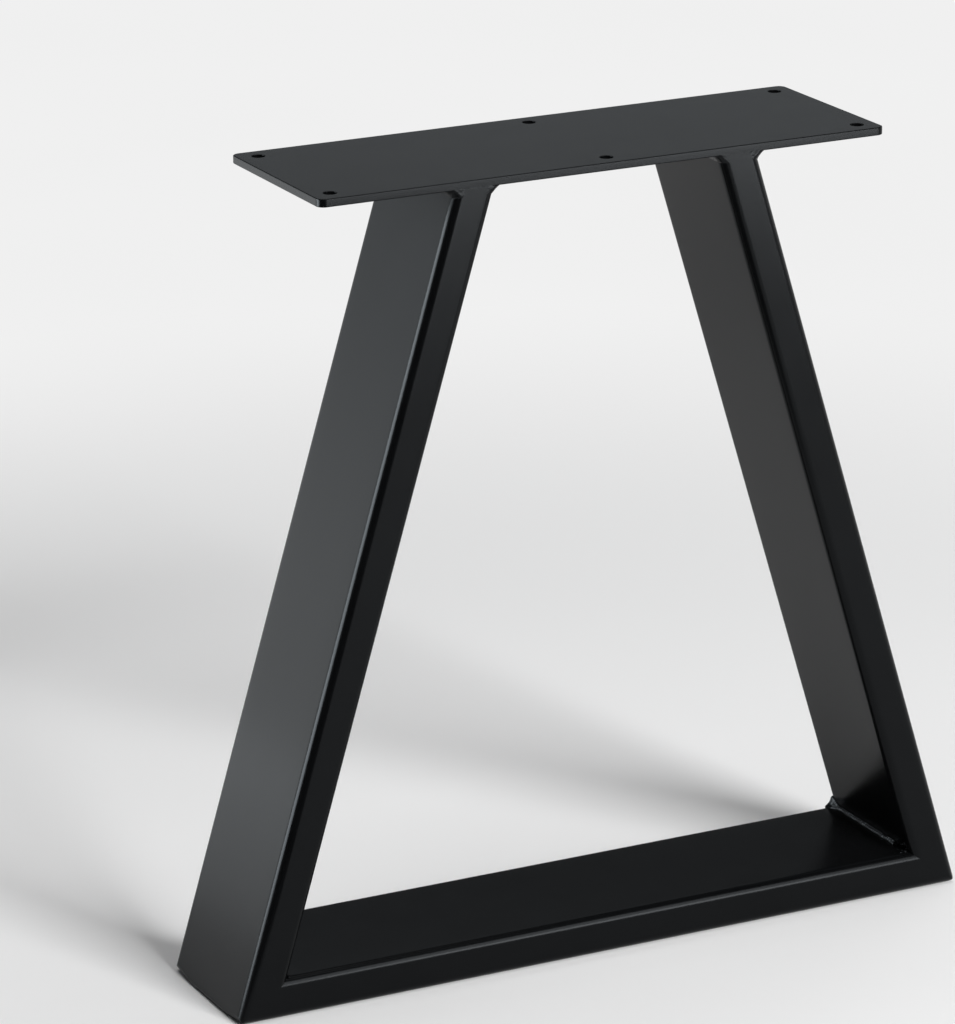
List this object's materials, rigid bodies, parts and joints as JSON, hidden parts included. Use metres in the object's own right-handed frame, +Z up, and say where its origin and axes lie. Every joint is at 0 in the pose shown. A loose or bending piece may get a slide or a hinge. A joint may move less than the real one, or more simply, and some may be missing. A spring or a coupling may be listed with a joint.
{
  "type": "table leg",
  "caption": "Trapezoid table leg: flat black steel tube welded into a splayed frame under a drilled mounting plate, standing on its foot rail to carry the end of a table or bench top.",
  "frame": {"origin": "on the floor, under the centre of the mounting plate", "axes": "+Z up to the table top, +X along the foot rail to the right, -Y towards the side where the tubes are flush with the plate's edge"},
  "size_m": [0.3986, 0.1, 0.4],
  "materials": {
    "black_powder_coat": "satin black powder coat on steel",
    "coated_weld": "satin black powder coat over a rippled weld bead"
  },
  "bodies": {
    "root": {"top_plate": "black_powder_coat", "left_leg_tube": "black_powder_coat", "right_leg_tube": "black_powder_coat", "foot_rail": "black_powder_coat", "left_top_weld": "coated_weld", "right_top_weld": "coated_weld", "left_foot_weld": "coated_weld", "right_foot_weld": "coated_weld"}
  },
  "joints": []
}
